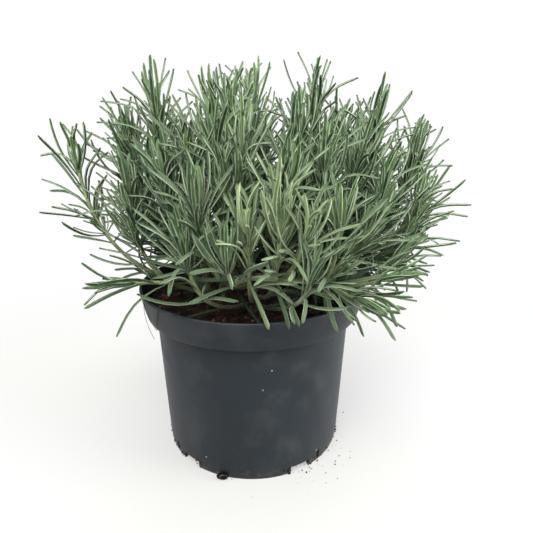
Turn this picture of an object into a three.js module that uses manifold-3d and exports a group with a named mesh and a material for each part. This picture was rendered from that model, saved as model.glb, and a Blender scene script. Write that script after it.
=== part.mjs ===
// A young lavender bush in a round nursery pot.
// Millimetres, +Z up. The origin is the centre of the pot's foot ring, on the surface it stands on.
// The bush is grown by rule: woody stubs rise from the soil, leafy shoots spring from the stubs,
// and each shoot's leaves stand in crossed pairs that keep clear of every other shoot and of the pot.
import * as THREE from "three";
import { mergeVertices } from "three/addons/utils/BufferGeometryUtils.js";
import Module from "manifold-3d";

const wasm = await Module();
wasm.setup();

// ---------------------------------------------------------------- driving dimensions

const clearance = 0.3; // gap between pieces that touch
const degree = Math.PI / 180;
const up = new THREE.Vector3(0, 0, 1);

const pot = {
  rimRadius: 70, // outside, at the top edge
  height: 105,
  lipHeight: 17, // the flared band below the rim
  lipFlare: 3.6, // how far the band leans out over its height
  ledge: 5.8, // how far the wall steps in below the band
  ledgeDrop: 2.5,
  footRadius: 56.7, // outside, where it stands
  wall: 1.3,
  footWidth: 2.6,
  footHeight: 4.8, // the floor's underside stands this far up
  floor: 1.5,
  roundSteps: 60, // facets round the pot
};

const notch = { count: 5, width: 13, height: 4.6, firstTurn: -61 }; // arches in the foot ring
const slot = { width: 2.4, bottom: 1.9, top: 7.5, besideNotch: 14.5 }; // a drain slot beside a notch, in degrees from its middle
const drain = { radius: 4.5, ringRadius: 38, centreRadius: 5 }; // holes through the floor

// The headspace, the dome in the middle and its radius as a share of the rim's, and the dip at the edge.
const soil = { belowRim: 10, crown: 2, domeShare: 0.5, edgeDip: 1.5 };

const stub = {
  count: 8,
  ringRadius: 27, // all but the first stand on this ring
  firstTurn: -90,
  footRadius: 3.2,
  topRadius: 2.4,
  height: 22,
};

const stem = { footRadius: 1.3, tipRadius: 0.75, steps: 6 };

const leaf = {
  length: 37,
  width: 2.6,
  thickness: 1.1,
  baseShare: 0.4, // width at the stem, as a share of the full width
  pairs: 5, // on each shoot, the youngest at the tip
  topPair: 1, // below the shoot's tip
  crowding: 2.6, // pair i grows crowding * i + stretch * i * i below the top pair
  stretch: 1.3,
  youngShare: 0.65, // the youngest pair's length, as a share of the full length
  firstAngle: 8, // degrees from the stem
  angleStep: 11.5, // added by each older pair
  inset: 0.5, // how far from the stem's middle a leaf is rooted
  bareFoot: 9, // stem without leaves above the stub
};

// Each shoot: name, its tip's x and y, its rise above the soil, and its sweep.
// Sweep 0 leaves the stub straight for the tip; sweep 1 runs out low and then turns up.
const shoots = [
  ["front_centre", -2, -66, 54, 1.0],
  ["front_fork", 24, -70, 51, 0.6],
  ["front_low_left", -12, -74, 41, 0.9],
  ["front_low_right", 27, -74, 32, 0.7],
  ["near_right_tall", 43, -58, 54, 0.9],
  ["near_right_upper", 72, -24, 68, 0.8],
  ["near_left_tall", -63, -38, 63, 1.0],
  ["near_mid_tall", 23, -36, 93, 0.5],
  ["near_mid_upper", 16, -58, 76, 0.8],
  ["near_mid_lower", 13, -70, 64, 0.9],
  ["twig_left", -25, -66, 64, 0.9],
  ["low_left", -31, -70, 46, 0.9],
  ["rim_left", -63, -46, 24, 0.1],
  ["rim_right", 51, -62, 20, -0.3],
  ["front_right_low", 38, -68, 33, 0.2],
  ["left_brush", -52, -8, 107, 0.6],
  ["left_lean", -68, -6, 90, 0.7],
  ["left_far", -97, -12, 80, 0.9],
  ["left_back", -74, 14, 82, 0.8],
  ["top_back_left", -24, 30, 110, 0.3],
  ["top_middle", -1, 22, 114, 0.2],
  ["top_middle_left", -10, -8, 106, 0.3],
  ["top_tall", 38, 12, 116, 0.4],
  ["right_top", 72, 2, 100, 0.7],
  ["right_shoulder", 95, -2, 82, 0.8],
  ["right_middle", 97, -12, 58, 0.9],
  ["right_low", 90, -18, 40, 0.8],
  ["right_rim", 76, -34, 28, 0.5],
  ["right_rim_low", 66, -48, 24, 0.3],
  ["right_back", 58, 24, 96, 0.5],
  ["inner_left", -42, -46, 74, 0.8],
  ["inner_left_upper", -31, -42, 85, 0.7],
  ["inner_middle_left", -18, -44, 91, 0.6],
  ["inner_middle", -5, -50, 88, 0.6],
  ["inner_middle_low", -13, -57, 72, 0.8],
  ["inner_right", 37, -40, 84, 0.6],
  ["inner_right_upper", 57, -24, 84, 0.7],
  ["inner_right_low", 57, -47, 46, 0.7],
  ["back_left_low", -70, 46, 40, 0.7],
  ["back_left_upper", -48, 46, 84, 0.6],
  ["back_middle_left", -22, 66, 66, 0.7],
  ["back_middle_low", -6, 71, 38, 0.6],
  ["back_middle_upper", 8, 52, 94, 0.5],
  ["back_right_low", 42, 66, 40, 0.7],
  ["back_right_upper", 42, 50, 84, 0.6],
  ["back_far_left", -50, 64, 34, 0.5],
  ["back_far_right", 78, 36, 44, 0.8],
  ["back_right_side", 74, 26, 74, 0.8],
  ["back_rim", 14, 73, 24, 0.3],
];

const colours = {
  pot: { color: 0x3f4347, roughness: 0.45, metalness: 0 },
  soil: { color: 0x2a1d16, roughness: 1, metalness: 0 },
  bark: { color: 0x6b5a45, roughness: 0.9, metalness: 0 },
  foliage: { color: 0x7d9474, roughness: 0.75, metalness: 0 },
};

// ---------------------------------------------------------------- solids

function solidFrom(geometry) {
  const bare = geometry.clone();
  bare.deleteAttribute("normal");
  bare.deleteAttribute("uv");
  const merged = mergeVertices(bare, 1e-4);
  return new wasm.Manifold(
    new wasm.Mesh({
      numProp: 3,
      vertProperties: new Float32Array(merged.attributes.position.array),
      triVerts: new Uint32Array(merged.index.array),
    }),
  );
}

// The solid's outer skin. Pockets shut in between crossed leaves are left out, so they are solid.
function geometryFrom(solid) {
  const { vertProperties, triVerts } = solid.getMesh();
  const group = Uint32Array.from({ length: vertProperties.length / 3 }, (_, i) => i);
  const find = (i) => {
    while (group[i] !== i) i = group[i] = group[group[i]];
    return i;
  };
  for (let i = 0; i < triVerts.length; i += 3) {
    group[find(triVerts[i + 1])] = find(triVerts[i]);
    group[find(triVerts[i + 2])] = find(triVerts[i]);
  }
  let lowest = 0;
  for (let i = 0; i < group.length; i++) if (vertProperties[3 * i + 2] < vertProperties[3 * lowest + 2]) lowest = i;
  const skin = find(lowest);
  const triangles = [];
  for (let i = 0; i < triVerts.length; i += 3)
    if (find(triVerts[i]) === skin) triangles.push(...triVerts.slice(i, i + 3));
  const geometry = new THREE.BufferGeometry();
  geometry.setAttribute("position", new THREE.BufferAttribute(vertProperties, 3));
  geometry.setIndex(triangles);
  geometry.computeVertexNormals();
  return geometry;
}

function part(name, geometry, look) {
  const mesh = new THREE.Mesh(geometry, new THREE.MeshStandardMaterial(look));
  mesh.name = name;
  return mesh;
}

// A closed profile of [radius, height] points, turned about Z.
function turned(profile) {
  const points = profile.map(([radius, height]) => new THREE.Vector2(radius, height));
  return new THREE.LatheGeometry(points, pot.roundSteps).rotateX(Math.PI / 2);
}

// ---------------------------------------------------------------- the pot and its soil

const lipBottom = pot.height - pot.lipHeight;
const lipBottomRadius = pot.rimRadius - pot.lipFlare;
const wallTop = lipBottom - pot.ledgeDrop;
const wallTopRadius = lipBottomRadius - pot.ledge;
const floorTop = pot.footHeight + pot.floor;
const soilTop = pot.height - soil.belowRim;

// The pot's outer wall radius at a height below the ledge.
function wallRadius(height) {
  return pot.footRadius + ((wallTopRadius - pot.footRadius) * height) / wallTop;
}

// The soil's height at a distance from the pot's axis: domed in the middle, then level.
function soilHeight(out) {
  return soilTop + soil.crown * Math.max(0, 1 - out / (soil.domeShare * pot.rimRadius));
}

function ringOf(count, firstTurn, make) {
  return Array.from({ length: count }, (_, i) => make(firstTurn * degree + (i * 2 * Math.PI) / count, i));
}

function potSolid() {
  const wall = pot.wall;
  const shell = solidFrom(
    turned([
      [0, pot.footHeight],
      [pot.footRadius - pot.footWidth, pot.footHeight],
      [pot.footRadius - pot.footWidth, 0],
      [pot.footRadius, 0],
      [wallTopRadius, wallTop],
      [lipBottomRadius, lipBottom],
      [pot.rimRadius, pot.height],
      [pot.rimRadius - wall, pot.height],
      [lipBottomRadius - wall, lipBottom + wall],
      [wallTopRadius - wall, wallTop + wall],
      [wallRadius(floorTop) - wall, floorTop],
      [0, floorTop],
    ]),
  );
  const arches = ringOf(notch.count, notch.firstTurn, (turn) =>
    new THREE.BoxGeometry(4 * pot.footWidth, notch.width, 2 * notch.height)
      .translate(pot.footRadius, 0, 0)
      .rotateZ(turn),
  );
  // The slots mirror each other about the front, so an odd notch opposite the front has none.
  const slots = ringOf(notch.count, notch.firstTurn, (turn, i) => {
    const side = Math.sign(notch.count - 1 - 2 * i);
    if (side === 0) return null;
    return new THREE.BoxGeometry(4 * pot.footWidth, slot.width, slot.top - slot.bottom)
      .translate(pot.footRadius, 0, (slot.top + slot.bottom) / 2)
      .rotateZ(turn + side * slot.besideNotch * degree);
  }).filter(Boolean);
  const holes = ringOf(notch.count, notch.firstTurn, (turn) =>
    new THREE.CylinderGeometry(drain.radius, drain.radius, 4 * floorTop, 16)
      .rotateX(Math.PI / 2)
      .translate(drain.ringRadius, 0, 0)
      .rotateZ(turn),
  );
  const centreHole = new THREE.CylinderGeometry(drain.centreRadius, drain.centreRadius, 4 * floorTop, 16);
  holes.push(centreHole.rotateX(Math.PI / 2));
  return [...arches, ...slots, ...holes].reduce((body, cutter) => body.subtract(solidFrom(cutter)), shell);
}

function soilGeometry() {
  const inside = pot.wall + clearance;
  return turned([
    [0, floorTop + clearance],
    [wallRadius(floorTop) - inside, floorTop + clearance],
    [wallTopRadius - inside, wallTop + pot.wall],
    [lipBottomRadius - inside, lipBottom + inside],
    [lipBottomRadius - inside, soilTop - soil.edgeDip],
    [soil.domeShare * pot.rimRadius, soilTop],
    [0, soilTop + soil.crown],
  ]);
}

// ---------------------------------------------------------------- growth

// A seeded run of even numbers from 0 to 1, the same on every build.
function seeded(seed) {
  let state = (seed * 7919 + 12345) % 2147483647;
  return () => {
    state = (state * 16807) % 2147483647;
    return state / 2147483647;
  };
}

// The space that is taken so far: each entry is a rod between two points with a radius and an owner.
const taken = [];

// The shortest distance between two segments.
function segmentDistance(a, b, c, d) {
  const along = b.clone().sub(a);
  const other = d.clone().sub(c);
  const between = a.clone().sub(c);
  const aa = along.dot(along);
  const bb = other.dot(other);
  const ab = along.dot(other);
  const ac = along.dot(between);
  const bc = other.dot(between);
  const spread = aa * bb - ab * ab;
  let s = spread > 1e-9 ? THREE.MathUtils.clamp((ab * bc - ac * bb) / spread, 0, 1) : 0;
  let t = (ab * s + bc) / bb;
  if (t < 0 || t > 1) {
    t = THREE.MathUtils.clamp(t, 0, 1);
    s = THREE.MathUtils.clamp((ab * t - ac) / aa, 0, 1);
  }
  return between.addScaledVector(along, s).addScaledVector(other, -t).length();
}

function rodsAlong(points, radius, owner) {
  return points.slice(1).map((end, i) => {
    const start = points[i];
    const reach = start.distanceTo(end) / 2 + radius;
    return { start, end, radius, owner, reach, middle: start.clone().add(end).multiplyScalar(0.5) };
  });
}

function meets(rod, other) {
  if (rod.middle.distanceTo(other.middle) > rod.reach + other.reach + clearance) return false;
  const needed = rod.radius + other.radius + clearance;
  return segmentDistance(rod.start, rod.end, other.start, other.end) < needed;
}

// True where a round of this radius at a point would touch the pot, the soil or the ground.
function touchesPot(point, radius) {
  const room = radius + clearance;
  const out = Math.hypot(point.x, point.y);
  if (point.z > pot.height + room) return false;
  if (out > pot.rimRadius + room) return point.z < room;
  const insideLip = lipBottomRadius - pot.wall + (pot.lipFlare * (point.z - lipBottom)) / pot.lipHeight;
  return out > insideLip - room || point.z < soilHeight(out) + room;
}

// True where a line of this radius clears the pot and every piece but those it belongs to.
function isFree(points, radius, ownPieces) {
  for (let i = 1; i < points.length; i++)
    for (const share of [0, 0.25, 0.5, 0.75, 1])
      if (touchesPot(points[i - 1].clone().lerp(points[i], share), radius)) return false;
  const rods = rodsAlong(points, radius);
  return !taken.some((other) => !ownPieces.includes(other.owner) && rods.some((rod) => meets(rod, other)));
}

function take(points, radius, owner) {
  taken.push(...rodsAlong(points, radius, owner));
}

// ---- stubs

const stubs = Array.from({ length: stub.count }, (_, i) => {
  const turn = (stub.firstTurn + ((i - 1) * 360) / (stub.count - 1)) * degree;
  const out = i === 0 ? 0 : stub.ringRadius;
  const height = soilHeight(Math.max(0, out - stub.footRadius)) + clearance;
  const foot = new THREE.Vector3(out * Math.cos(turn), out * Math.sin(turn), height);
  const top = foot.clone().addScaledVector(up, stub.height);
  const name = "woody_stub_" + (i + 1);
  take([foot, top], stub.footRadius, name);
  return { name, foot, top };
});

// ---- stems

// Ways for a stem to leave its stub and reach its tip, tried in turn: the stub by nearness, the share
// of the stub's height it leaves at, the turn round the stub in degrees, the added sweep, and how far
// its tip is moved round the pot in degrees and up.
const ways = [];
for (const lift of [0, 6, 14, 24])
  for (const swing of [0, 4, -4, 8, -8, 14, -14])
    for (const near of [0, 1, 2])
      for (const sweep of [0, -0.25, 0.25, -0.5])
        for (const turn of [0, 25, -25, 50, -50, 75, -75])
          for (const height of [0.35, 0.65, 0.9, 0.15]) ways.push({ near, height, turn, sweep, swing, lift });

function stubsNear(tip) {
  const away = (s) => Math.hypot(s.top.x - 0.4 * tip.x, s.top.y - 0.4 * tip.y);
  return stubs.toSorted((a, b) => away(a) - away(b));
}

function stemCurve(origin, planned, sweep, { height, turn, sweep: extra, swing, lift }) {
  const tip = planned.clone().applyAxisAngle(up, swing * degree).addScaledVector(up, lift);
  const heading = Math.atan2(tip.y - origin.foot.y, tip.x - origin.foot.x) + turn * degree;
  const outward = new THREE.Vector3(Math.cos(heading), Math.sin(heading), 0);
  const middle = origin.foot.clone().lerp(origin.top, height);
  const bow = sweep + extra;
  const elbow = middle.clone().addScaledVector(outward, stub.footRadius);
  elbow.lerp(tip, 0.5 + 0.45 * Math.max(bow, -0.2));
  elbow.z = middle.z + (tip.z - middle.z) * (0.5 - 0.4 * bow);
  // The further a stem turns from straight out, the more its foot's edge reaches back towards the stub.
  const halfWidth = stem.footRadius * Math.SQRT2;
  const besideStub = THREE.MathUtils.lerp(stub.footRadius, stub.topRadius, height) + clearance;
  const farStart = middle.clone().addScaledVector(outward, besideStub + halfWidth);
  const straightOut = elbow.clone().sub(farStart).normalize().dot(outward);
  const back = halfWidth * Math.sqrt(1 - Math.max(straightOut, 0) ** 2);
  const start = middle.addScaledVector(outward, besideStub + back);
  return new THREE.QuadraticBezierCurve3(start, elbow, tip);
}

function growStem([name, x, y, rise, sweep]) {
  const tip = new THREE.Vector3(x, y, soilTop + rise);
  const origins = stubsNear(tip);
  const reach = stem.footRadius * Math.SQRT2;
  for (const way of ways) {
    const origin = origins[way.near];
    const curve = stemCurve(origin, tip, sweep, way);
    const points = curve.getPoints(stem.steps);
    if (!isFree(points, reach, [name, origin.name])) continue;
    take(points, reach, name);
    return curve;
  }
  throw new Error("no free way for the stem of " + name);
}

// ---- leaves

// Ways to shift a leaf that would touch something: turn and tilt in degrees, and length as a share.
const shifts = [
  [0, 0, 1], [14, 0, 1], [-14, 0, 1], [0, -9, 1], [0, 10, 1], [28, 0, 1], [-28, 0, 1],
  [14, 12, 0.9], [-14, 12, 0.9], [0, 20, 0.85], [20, -6, 0.75], [-20, -6, 0.75], [0, -6, 0.6], [0, 8, 0.5],
];

// A leaf as its middle line: from the stem's centre, through its widest place, to its tip.
function leafLine(root, along, side, length, angle, curl) {
  const first = along.clone().multiplyScalar(Math.cos(angle)).addScaledVector(side, Math.sin(angle));
  const second = first.clone().addScaledVector(along, curl).addScaledVector(up, -0.1).normalize();
  const elbow = root.clone().addScaledVector(first, length / 2);
  const tip = elbow.clone().addScaledVector(second, length / 2);
  const middle = new THREE.QuadraticBezierCurve3(root, elbow, tip).getPoint(0.5);
  return [root, middle, tip];
}

function growLeaves(curve, name, index) {
  const random = seeded(index);
  const stemLength = curve.getLength();
  const roll = random() * Math.PI;
  const lines = [];
  for (let pair = 0; pair < leaf.pairs; pair++) {
    const below = leaf.topPair + leaf.crowding * pair + leaf.stretch * pair * pair;
    if (below > stemLength - leaf.bareFoot) break;
    const share = 1 - below / stemLength;
    const root = curve.getPointAt(share);
    const along = curve.getTangentAt(share);
    const across = new THREE.Vector3().crossVectors(along, up);
    if (across.length() < 0.05) across.set(1, 0, 0);
    across.normalize();
    const upright = new THREE.Vector3().crossVectors(across, along);
    const grown = leaf.youngShare + (1 - leaf.youngShare) * Math.sin((Math.PI * pair) / leaf.pairs);
    for (const face of [0, Math.PI]) {
      const drawn = [random(), random(), random()];
      for (const [turn, tilt, cut] of shifts) {
        const around = roll + (pair * Math.PI) / 2 + face + turn * degree;
        const side = across.clone().multiplyScalar(Math.cos(around)).addScaledVector(upright, Math.sin(around));
        const angle = (leaf.firstAngle + leaf.angleStep * pair + tilt + 10 * (drawn[0] - 0.5)) * degree;
        const length = leaf.length * grown * cut * (0.88 + 0.24 * drawn[1]);
        const foot = root.clone().addScaledVector(side, leaf.inset);
        const line = leafLine(foot, along, side, length, angle, 1.3 * (drawn[2] - 0.25));
        if (!isFree(line, leaf.width / 2, [name])) continue;
        take(line, leaf.width / 2, name);
        lines.push({ line, along });
        break;
      }
    }
  }
  return lines;
}

// Lays a blank, which stands along Y from -0.5 to 0.5, on a line: place(share) gives the centre,
// the two directions across, and the half sizes along them.
function laid(blank, place) {
  const position = blank.attributes.position;
  for (let i = 0; i < position.count; i++) {
    const { centre, side, face, halfWidth, halfDepth } = place(position.getY(i) + 0.5);
    const point = centre.clone();
    point.addScaledVector(side, position.getX(i) * halfWidth);
    point.addScaledVector(face, position.getZ(i) * halfDepth);
    position.setXYZ(i, point.x, point.y, point.z);
  }
  return solidFrom(blank);
}

// A square stem that tapers along its curve.
function stemSolid(curve) {
  const blank = new THREE.CylinderGeometry(1, 1, 1, 4, stem.steps);
  return laid(blank, (share) => {
    const along = curve.getTangent(share);
    const side = new THREE.Vector3(1, 0, 0).cross(along);
    if (side.length() < 0.2) side.set(0, 1, 0).cross(along);
    side.normalize();
    const face = new THREE.Vector3().crossVectors(side, along);
    const half = Math.SQRT2 * THREE.MathUtils.lerp(stem.footRadius, stem.tipRadius, share);
    return { centre: curve.getPoint(share), side, face, halfWidth: half, halfDepth: half };
  });
}

// A narrow leaf, three-sided: flat above, keeled below, pointed at its tip.
function leafSolid({ line, along }) {
  const [root, middle, tip] = line;
  const blank = new THREE.ConeGeometry(1, 1, 3, 2);
  const run = tip.clone().sub(root).normalize();
  const side = new THREE.Vector3().crossVectors(along, run).normalize();
  const under = new THREE.Vector3().crossVectors(side, run);
  return laid(blank, (share) => {
    const centre = share < 0.25 ? root : share > 0.75 ? tip : middle;
    // The blank is 1.73 wide and 1.5 deep at its foot, and half of that in its middle.
    const grown = share < 0.25 ? leaf.baseShare : 2;
    const halfWidth = (grown * leaf.width) / 1.73;
    const halfDepth = (grown * leaf.thickness) / 1.5;
    return { centre, side, face: under, halfWidth, halfDepth };
  });
}

// ---------------------------------------------------------------- assembly

const bush = new THREE.Group();
bush.add(part("nursery_pot", geometryFrom(potSolid()), colours.pot));
bush.add(part("soil", soilGeometry(), colours.soil));

stubs.forEach(({ name, foot, top }) => {
  const length = foot.distanceTo(top);
  const geometry = new THREE.CylinderGeometry(stub.topRadius, stub.footRadius, length, 10);
  geometry.rotateX(Math.PI / 2);
  const mesh = part(name, geometry, colours.bark);
  mesh.position.copy(foot).add(top).multiplyScalar(0.5);
  bush.add(mesh);
});

const stems = shoots.map(growStem);
const foliage = shoots.map(([name], i) => growLeaves(stems[i], name, i + 1));
shoots.forEach(([name], i) => {
  const solid = foliage[i].reduce((body, line) => body.add(leafSolid(line)), stemSolid(stems[i]));
  bush.add(part("shoot_" + name, geometryFrom(solid), colours.foliage));
});

export default bush;
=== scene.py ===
import math

import bmesh
import bpy
import numpy as np
from mathutils import Matrix, Vector, noise


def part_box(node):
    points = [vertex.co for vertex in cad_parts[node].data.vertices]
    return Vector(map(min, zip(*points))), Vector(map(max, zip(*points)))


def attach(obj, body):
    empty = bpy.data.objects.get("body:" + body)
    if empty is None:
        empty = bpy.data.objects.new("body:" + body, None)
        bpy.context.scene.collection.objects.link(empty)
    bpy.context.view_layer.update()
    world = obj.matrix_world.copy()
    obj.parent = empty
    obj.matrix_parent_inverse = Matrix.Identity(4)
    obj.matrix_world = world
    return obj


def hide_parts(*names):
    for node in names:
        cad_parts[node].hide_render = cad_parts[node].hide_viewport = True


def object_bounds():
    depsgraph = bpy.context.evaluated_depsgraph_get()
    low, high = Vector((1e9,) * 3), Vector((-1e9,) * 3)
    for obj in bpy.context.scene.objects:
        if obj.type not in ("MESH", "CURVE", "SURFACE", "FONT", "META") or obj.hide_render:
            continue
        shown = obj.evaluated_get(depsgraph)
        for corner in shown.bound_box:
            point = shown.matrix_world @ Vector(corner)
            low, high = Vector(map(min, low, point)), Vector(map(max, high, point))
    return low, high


# A young lavender bush in a round nursery pot. Lengths in the dictionaries are millimetres,
# and metres in the looks of the materials, the studio, the lights and the view.
# The bush grows by rule from the same shoots as the solid part, then gets its finer leaves.

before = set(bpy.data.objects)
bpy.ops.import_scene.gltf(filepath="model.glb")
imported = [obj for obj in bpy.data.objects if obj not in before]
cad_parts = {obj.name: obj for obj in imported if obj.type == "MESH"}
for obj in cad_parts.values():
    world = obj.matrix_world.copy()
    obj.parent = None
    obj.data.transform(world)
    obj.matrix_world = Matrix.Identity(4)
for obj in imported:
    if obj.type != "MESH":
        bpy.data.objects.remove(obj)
cadLow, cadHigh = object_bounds()
mm = 0.001
degree = math.pi / 180
zAxis = np.array([0.0, 0.0, 1.0])
print("frame loaded")


# A simple stream of random numbers, the same in every run.
def seeded(seed):
    state = (seed * 7919 + 12345) % 2147483647

    def draw():
        nonlocal state
        state = (state * 16807) % 2147483647
        return state / 2147483647

    return draw


def clamp(value, low=0.0, high=1.0):
    return max(low, min(high, value))


def unit(vector):
    return vector / np.linalg.norm(vector)


def blend(a, b, share):
    return a + (b - a) * share


def polar(out, turn, height):
    return np.array([out * math.cos(turn), out * math.sin(turn), height])


# The direction between two square ones, turned by an angle from the first towards the second.
def swung(first, second, angle):
    return first * math.cos(angle) + second * math.sin(angle)


def newMesh(name, bm):
    mesh = bpy.data.meshes.new(name)
    bm.to_mesh(mesh)
    bm.free()
    return mesh


# One mesh of many copies of a blank, whose points are then set, in millimetres, by setPoints.
def manyOf(name, blank, count):
    bm = bmesh.new()
    for _ in range(count):
        bm.from_mesh(blank)
    return newMesh(name, bm)


def setPoints(mesh, points):
    mesh.vertices.foreach_set("co", (np.concatenate(points) * mm).ravel())
    mesh.update()


def pointsOf(mesh):
    return np.array([v.co[:] for v in mesh.vertices])


def faceOut(mesh):
    bm = bmesh.new()
    bm.from_mesh(mesh)
    bmesh.ops.recalc_face_normals(bm, faces=bm.faces[:])
    bm.to_mesh(mesh)
    bm.free()


def addPiece(name, mesh, material, smooth=True, sharpAngle=None):
    piece = bpy.data.objects.new(name, mesh)
    bpy.context.scene.collection.objects.link(piece)
    mesh.materials.append(material)
    mesh.polygons.foreach_set("use_smooth", [smooth] * len(mesh.polygons))
    if sharpAngle is not None:
        mesh.set_sharp_from_angle(angle=sharpAngle * degree)
    return piece


def addCornerColours(mesh, name, values):
    layer = mesh.color_attributes.new(name, "FLOAT_COLOR", "CORNER")
    layer.data.foreach_set("color", np.asarray(values, np.float32).ravel())


# Pot sizes: the rim and the height are read back from the solid part.
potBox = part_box("nursery_pot")

pot = {
    "rimRadius": (potBox[1][0] - potBox[0][0]) / mm / 2,
    "height": potBox[1][2] / mm,
    "lipHeight": 17,
    "lipFlare": 3.6,
    "ledge": 5.8,
    "ledgeDrop": 2.5,
    "footRadius": 56.7,
    "wall": 1.3,
    "footWidth": 2.6,
    "footHeight": 4.8,
    "floor": 1.5,
    "steps": 144,
    "edgeRound": 0.45,
    "lipRound": 0.9,
    "footRound": 0.35,
    "bulge": 0.25,
    "bulgeHeight": 6,
    "beadTop": 0.9,
    "beadFoot": 1.6,
}
notch = {"count": 5, "width": 13, "height": 4.6, "firstTurn": -61}
slot = {"width": 2.4, "bottom": 1.9, "top": 7.5, "besideNotch": 14.5}
drain = {"radius": 4.5, "ringRadius": 38, "centreRadius": 5}
soil = {"belowRim": 10, "crown": 2, "domeShare": 0.5, "edgeDip": 1.5}
clearance = 0.3

lipBottom = pot["height"] - pot["lipHeight"]
lipBottomRadius = pot["rimRadius"] - pot["lipFlare"]
wallTop = lipBottom - pot["ledgeDrop"]
wallTopRadius = lipBottomRadius - pot["ledge"]
floorTop = pot["footHeight"] + pot["floor"]
soilTop = pot["height"] - soil["belowRim"]


def wallRadius(height):
    return pot["footRadius"] + (wallTopRadius - pot["footRadius"]) * height / wallTop


def lipRadius(height):
    return lipBottomRadius + pot["lipFlare"] * (height - lipBottom) / pot["lipHeight"]


def soilHeight(out):
    return soilTop + soil["crown"] * max(0, 1 - out / (soil["domeShare"] * pot["rimRadius"]))


# Room: the rods that are already taken, so that no leaf runs through another shoot.
room = {"count": 0, "owners": {}}
for key, width in (("start", 3), ("end", 3), ("middle", 3), ("radius", 0), ("reach", 0), ("owner", 0)):
    room[key] = np.zeros((60000, 3) if width else 60000)


def ownerNumber(name):
    return room["owners"].setdefault(name, len(room["owners"]))


# Takes the room of a bent rod for its owner.
def take(points, radius, owner):
    for start, end in zip(points[:-1], points[1:]):
        n = room["count"]
        room["start"][n], room["end"][n], room["middle"][n] = start, end, (start + end) / 2
        room["radius"][n], room["owner"][n] = radius, ownerNumber(owner)
        room["reach"][n] = np.linalg.norm(end - start) / 2 + radius
        room["count"] = n + 1


def touchesPot(point, radius, gap):
    space = radius + gap
    out = math.hypot(point[0], point[1])
    if point[2] > pot["height"] + space:
        return False
    if out > pot["rimRadius"] + space:
        return point[2] < space
    insideLip = lipBottomRadius - pot["wall"] + pot["lipFlare"] * (point[2] - lipBottom) / pot["lipHeight"]
    return out > insideLip - space or point[2] < soilHeight(out) + space


# The distances from the line a-b to the rods that are near it.
def rodDistances(a, b, near):
    c, d = room["start"][near], room["end"][near]
    along, other, between = b - a, d - c, a - c
    aa = along @ along
    bb = (other * other).sum(1)
    ab = other @ along
    ac = between @ along
    bc = (other * between).sum(1)
    spread = aa * bb - ab * ab
    safe = np.where(spread > 1e-9, spread, 1)
    s = np.where(spread > 1e-9, np.clip((ab * bc - ac * bb) / safe, 0, 1), 0)
    t = (ab * s + bc) / bb
    off = (t < 0) | (t > 1)
    t = np.clip(t, 0, 1)
    s = np.where(off, np.clip((ab * t - ac) / aa, 0, 1), s)
    return np.linalg.norm(between + s[:, None] * along - t[:, None] * other, axis=1)


# Whether a bent rod is free of the pot, of the soil and of every rod but its own.
def isFree(points, radius, own, gap=clearance):
    for start, end in zip(points[:-1], points[1:]):
        for share in (0, 0.25, 0.5, 0.75, 1):
            if touchesPot(blend(start, end, share), radius, gap):
                return False
    n = room["count"]
    others = ~np.isin(room["owner"][:n], [ownerNumber(name) for name in own])
    for start, end in zip(points[:-1], points[1:]):
        reach = np.linalg.norm(end - start) / 2 + radius
        apart = np.linalg.norm(room["middle"][:n] - (start + end) / 2, axis=1)
        near = np.nonzero(others & (apart <= room["reach"][:n] + reach + gap))[0]
        if len(near) and (rodDistances(start, end, near) < radius + room["radius"][near] + gap).any():
            return False
    return True


# Stubs and stems.
stub = {"count": 8, "ringRadius": 27, "firstTurn": -90, "footRadius": 3.2, "topRadius": 2.4, "height": 22}
stem = {"footRadius": 1.3, "tipRadius": 0.75, "steps": 6}

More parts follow.
